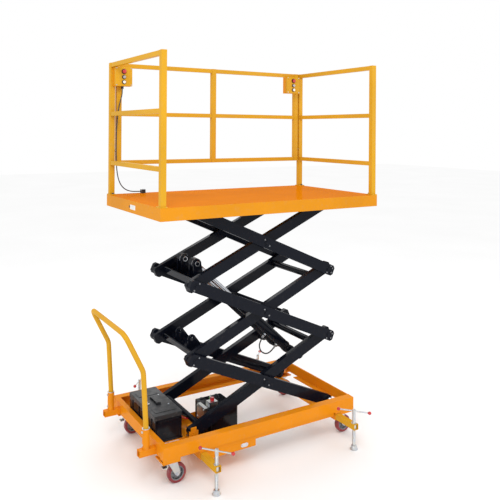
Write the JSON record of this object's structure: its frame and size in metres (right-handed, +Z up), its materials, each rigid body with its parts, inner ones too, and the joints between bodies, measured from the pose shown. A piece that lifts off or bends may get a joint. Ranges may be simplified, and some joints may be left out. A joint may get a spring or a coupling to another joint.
{
  "type": "scissor lift table",
  "caption": "Battery-powered mobile scissor lift table with stacked arm pairs, steel deck, guard rails on three sides, casters, screw outriggers and a push handle.",
  "frame": {"origin": "on the floor, at the middle of the whole table's footprint", "axes": "+Z up, +X along the table away from the push handle, +Y towards the guarded long side"},
  "size_m": [1.988, 1.511, 2.811],
  "materials": {
    "black_paint": "satin enamel",
    "black_plastic": "moulded",
    "cable_rubber": "matt",
    "chrome": "polished",
    "grey_plastic": "gloss",
    "orange_paint": "gloss enamel",
    "red_plastic": "gloss",
    "tyre": "maroon polyurethane",
    "white_plastic": "gloss",
    "yellow_paint": "gloss enamel",
    "zinc": "zinc plated"
  },
  "bodies": {
    "base": {"base_frame": "orange_paint", "pivot_brackets": "orange_paint", "push_handle": "yellow_paint", "handle_sockets": "orange_paint", "battery_box": "black_plastic", "batteries": "black_plastic", "oil_tank": "black_paint", "pump_unit": "black_paint", "caster_plates": "zinc"},
    "deck": {"deck_plate": "orange_paint", "deck_underframe": "orange_paint", "guard_left": "yellow_paint", "guard_right": "yellow_paint", "guard_back": "yellow_paint", "deck_fittings": "zinc", "control_boxes": "yellow_paint", "control_cable": "cable_rubber"},
    "cylinder_barrels": {"cylinder_barrels": "black_paint", "cylinder_hose": "cable_rubber"},
    "cylinder_rods": {"cylinder_rods": "chrome"},
    "base_rollers": {"base_rollers": "zinc"},
    "deck_rollers": {"deck_rollers": "zinc"},
    "battery_lid": {"battery_lid": "black_plastic"},
    "inner_arm_pair_1": {"inner_arms_1": "black_paint", "inner_ties_1": "black_paint"},
    "outer_arm_pair_1": {"outer_arms_1": "black_paint"},
    "inner_arm_pair_2": {"inner_arms_2": "black_paint", "inner_ties_2": "black_paint"},
    "outer_arm_pair_2": {"outer_arms_2": "black_paint"},
    "inner_arm_pair_3": {"inner_arms_3": "black_paint", "inner_ties_3": "black_paint"},
    "outer_arm_pair_3": {"outer_arms_3": "black_paint"},
    "caster_fork_front_left": {"caster_fork_front_left": "zinc"},
    "caster_wheel_front_left": {"caster_wheel_front_left": "tyre"},
    "outrigger_arm_front_left": {"outrigger_arm_front_left": "yellow_paint"},
    "jack_foot_front_left": {"jack_foot_front_left": "zinc"},
    "jack_screw_front_left": {"jack_screw_front_left": "zinc"},
    "brake_pedal_front_left": {"brake_pedal_front_left": "zinc"},
    "caster_fork_back_left": {"caster_fork_back_left": "zinc"},
    "caster_wheel_back_left": {"caster_wheel_back_left": "tyre"},
    "outrigger_arm_back_left": {"outrigger_arm_back_left": "yellow_paint"},
    "jack_foot_back_left": {"jack_foot_back_left": "zinc"},
    "jack_screw_back_left": {"jack_screw_back_left": "zinc"},
    "brake_pedal_back_left": {"brake_pedal_back_left": "zinc"},
    "caster_fork_front_right": {"caster_fork_front_right": "zinc"},
    "caster_wheel_front_right": {"caster_wheel_front_right": "tyre"},
    "outrigger_arm_front_right": {"outrigger_arm_front_right": "yellow_paint"},
    "jack_foot_front_right": {"jack_foot_front_right": "zinc"},
    "jack_screw_front_right": {"jack_screw_front_right": "zinc"},
    "caster_fork_back_right": {"caster_fork_back_right": "zinc"},
    "caster_wheel_back_right": {"caster_wheel_back_right": "tyre"},
    "outrigger_arm_back_right": {"outrigger_arm_back_right": "yellow_paint"},
    "jack_foot_back_right": {"jack_foot_back_right": "zinc"},
    "jack_screw_back_right": {"jack_screw_back_right": "zinc"},
    "button_stop_left": {"button_stop_left": "red_plastic"},
    "button_up_left": {"button_up_left": "grey_plastic"},
    "button_down_left": {"button_down_left": "white_plastic"},
    "button_stop_right": {"button_stop_right": "red_plastic"},
    "button_up_right": {"button_up_right": "grey_plastic"},
    "button_down_right": {"button_down_right": "white_plastic"}
  },
  "joints": [
    {"name": "lift", "type": "hinge", "parent": "base", "child": "inner_arm_pair_1", "pos_m": [-0.469, 0, 0.236], "axis": [0, -1, 0], "range_deg": [-15.5, 0]},
    {"name": "stage_1_cross", "type": "hinge", "parent": "inner_arm_pair_1", "child": "outer_arm_pair_1", "pos_m": [0.09557, 0, 0.48736], "axis": [0, -1, 0], "range_deg": [0, 31.2]},
    {"name": "stage_1_right", "type": "hinge", "parent": "inner_arm_pair_1", "child": "outer_arm_pair_2", "pos_m": [0.66014, 0, 0.73873], "axis": [0, -1, 0], "range_deg": [0, 31.2]},
    {"name": "stage_2_cross", "type": "hinge", "parent": "outer_arm_pair_2", "child": "inner_arm_pair_2", "pos_m": [0.09557, 0, 0.99009], "axis": [0, -1, 0], "range_deg": [-31.2, 0]},
    {"name": "stage_2_right", "type": "hinge", "parent": "inner_arm_pair_2", "child": "outer_arm_pair_3", "pos_m": [0.66014, 0, 1.24145], "axis": [0, -1, 0], "range_deg": [0, 31.2]},
    {"name": "stage_3_cross", "type": "hinge", "parent": "outer_arm_pair_3", "child": "inner_arm_pair_3", "pos_m": [0.09557, 0, 1.49282], "axis": [0, -1, 0], "range_deg": [-31.2, 0]},
    {"name": "deck_pivot", "type": "hinge", "parent": "outer_arm_pair_3", "child": "deck", "pos_m": [-0.469, 0, 1.74418], "axis": [0, -1, 0], "range_deg": [-15.6, 0]},
    {"name": "cylinder_swing", "type": "hinge", "parent": "inner_arm_pair_1", "child": "cylinder_barrels", "pos_m": [0.45262, 0, 0.59707], "axis": [0, -1, 0], "range_deg": [0, 35.9]},
    {"name": "cylinder_stroke", "type": "slide", "parent": "cylinder_barrels", "child": "cylinder_rods", "axis": [-0.7344, 0, 0.6787], "range_m": [-0.1992, 0]},
    {"name": "base_roller_spin", "type": "hinge", "parent": "outer_arm_pair_1", "child": "base_rollers", "pos_m": [0.66014, 0, 0.236], "axis": [0, 1, 0], "continuous": true},
    {"name": "deck_roller_spin", "type": "hinge", "parent": "inner_arm_pair_3", "child": "deck_rollers", "pos_m": [0.66014, 0, 1.74418], "axis": [0, 1, 0], "continuous": true},
    {"name": "caster_swivel_front_left", "type": "hinge", "parent": "base", "child": "caster_fork_front_left", "pos_m": [-0.677, -0.396, 0], "axis": [0, 0, 1], "continuous": true},
    {"name": "caster_roll_front_left", "type": "hinge", "parent": "caster_fork_front_left", "child": "caster_wheel_front_left", "pos_m": [-0.639, -0.396, 0.065], "axis": [0, 1, 0], "continuous": true},
    {"name": "brake_front_left", "type": "hinge", "parent": "caster_fork_front_left", "child": "brake_pedal_front_left", "pos_m": [-0.7105, -0.396, 0.138], "axis": [0, 1, 0], "range_deg": [-12, 0]},
    {"name": "outrigger_front_left", "type": "slide", "parent": "base", "child": "outrigger_arm_front_left", "axis": [0, -1, 0], "range_m": [-0.08, 0.06]},
    {"name": "jack_travel_front_left", "type": "slide", "parent": "outrigger_arm_front_left", "child": "jack_foot_front_left", "axis": [0, 0, 1], "range_m": [-0.0201, 0.0801]},
    {"name": "jack_spin_front_left", "type": "hinge", "parent": "jack_foot_front_left", "child": "jack_screw_front_left", "pos_m": [-0.481, -0.657, 0], "axis": [0, 0, 1], "range_deg": [-1440, 5760]},
    {"name": "caster_swivel_back_left", "type": "hinge", "parent": "base", "child": "caster_fork_back_left", "pos_m": [-0.677, 0.396, 0], "axis": [0, 0, 1], "continuous": true},
    {"name": "caster_roll_back_left", "type": "hinge", "parent": "caster_fork_back_left", "child": "caster_wheel_back_left", "pos_m": [-0.639, 0.396, 0.065], "axis": [0, 1, 0], "continuous": true},
    {"name": "brake_back_left", "type": "hinge", "parent": "caster_fork_back_left", "child": "brake_pedal_back_left", "pos_m": [-0.7105, 0.396, 0.138], "axis": [0, 1, 0], "range_deg": [-12, 0]},
    {"name": "outrigger_back_left", "type": "slide", "parent": "base", "child": "outrigger_arm_back_left", "axis": [0, 1, 0], "range_m": [-0.08, 0.06]},
    {"name": "jack_travel_back_left", "type": "slide", "parent": "outrigger_arm_back_left", "child": "jack_foot_back_left", "axis": [0, 0, 1], "range_m": [-0.0201, 0.0801]},
    {"name": "jack_spin_back_left", "type": "hinge", "parent": "jack_foot_back_left", "child": "jack_screw_back_left", "pos_m": [-0.481, 0.657, 0], "axis": [0, 0, 1], "range_deg": [-1440, 5760]},
    {"name": "caster_swivel_front_right", "type": "hinge", "parent": "base", "child": "caster_fork_front_right", "pos_m": [0.718, -0.396, 0], "axis": [0, 0, 1], "continuous": true},
    {"name": "caster_roll_front_right", "type": "hinge", "parent": "caster_fork_front_right", "child": "caster_wheel_front_right", "pos_m": [0.756, -0.396, 0.065], "axis": [0, 1, 0], "continuous": true},
    {"name": "outrigger_front_right", "type": "slide", "parent": "base", "child": "outrigger_arm_front_right", "axis": [0, -1, 0], "range_m": [-0.08, 0.06]},
    {"name": "jack_travel_front_right", "type": "slide", "parent": "outrigger_arm_front_right", "child": "jack_foot_front_right", "axis": [0, 0, 1], "range_m": [-0.0201, 0.0801]},
    {"name": "jack_spin_front_right", "type": "hinge", "parent": "jack_foot_front_right", "child": "jack_screw_front_right", "pos_m": [0.648, -0.657, 0], "axis": [0, 0, 1], "range_deg": [-1440, 5760]},
    {"name": "caster_swivel_back_right", "type": "hinge", "parent": "base", "child": "caster_fork_back_right", "pos_m": [0.718, 0.396, 0], "axis": [0, 0, 1], "continuous": true},
    {"name": "caster_roll_back_right", "type": "hinge", "parent": "caster_fork_back_right", "child": "caster_wheel_back_right", "pos_m": [0.756, 0.396, 0.065], "axis": [0, 1, 0], "continuous": true},
    {"name": "outrigger_back_right", "type": "slide", "parent": "base", "child": "outrigger_arm_back_right", "axis": [0, 1, 0], "range_m": [-0.08, 0.06]},
    {"name": "jack_travel_back_right", "type": "slide", "parent": "outrigger_arm_back_right", "child": "jack_foot_back_right", "axis": [0, 0, 1], "range_m": [-0.0201, 0.0801]},
    {"name": "jack_spin_back_right", "type": "hinge", "parent": "jack_foot_back_right", "child": "jack_screw_back_right", "pos_m": [0.648, 0.657, 0], "axis": [0, 0, 1], "range_deg": [-1440, 5760]},
    {"name": "press_stop_left", "type": "slide", "parent": "deck", "child": "button_stop_left", "axis": [0, 1, 0], "range_m": [0, 0.004], "stiffness_N_per_m": 400, "springref_m": -0.003},
    {"name": "press_up_left", "type": "slide", "parent": "deck", "child": "button_up_left", "axis": [0, 1, 0], "range_m": [0, 0.004], "stiffness_N_per_m": 400, "springref_m": -0.003},
    {"name": "press_down_left", "type": "slide", "parent": "deck", "child": "button_down_left", "axis": [0, 1, 0], "range_m": [0, 0.004], "stiffness_N_per_m": 400, "springref_m": -0.003},
    {"name": "press_stop_right", "type": "slide", "parent": "deck", "child": "button_stop_right", "axis": [0, 1, 0], "range_m": [0, 0.004], "stiffness_N_per_m": 400, "springref_m": -0.003},
    {"name": "press_up_right", "type": "slide", "parent": "deck", "child": "button_up_right", "axis": [0, 1, 0], "range_m": [0, 0.004], "stiffness_N_per_m": 400, "springref_m": -0.003},
    {"name": "press_down_right", "type": "slide", "parent": "deck", "child": "button_down_right", "axis": [0, 1, 0], "range_m": [0, 0.004], "stiffness_N_per_m": 400, "springref_m": -0.003},
    {"name": "battery_lid_hinge", "type": "hinge", "parent": "base", "child": "battery_lid", "pos_m": [-0.725, 0, 0.3505], "axis": [0, -1, 0], "range_deg": [0, 95]}
  ],
  "couplings": [
    {"joint": "stage_1_cross", "follows": "lift", "ratio": -2},
    {"joint": "stage_1_right", "follows": "lift", "ratio": -2},
    {"joint": "stage_2_cross", "follows": "lift", "ratio": 2},
    {"joint": "stage_2_right", "follows": "lift", "ratio": -2},
    {"joint": "stage_3_cross", "follows": "lift", "ratio": 2},
    {"joint": "deck_pivot", "follows": "lift", "ratio": 1},
    {"joint": "cylinder_swing", "follows": "lift", "ratio": -2.2969},
    {"joint": "cylinder_stroke", "follows": "lift", "m_per_rad": 0.7288},
    {"joint": "jack_travel_front_left", "follows": "jack_spin_front_left", "m_per_rad": 0.00079577},
    {"joint": "jack_travel_back_left", "follows": "jack_spin_back_left", "m_per_rad": 0.00079577},
    {"joint": "jack_travel_front_right", "follows": "jack_spin_front_right", "m_per_rad": 0.00079577},
    {"joint": "jack_travel_back_right", "follows": "jack_spin_back_right", "m_per_rad": 0.00079577}
  ]
}
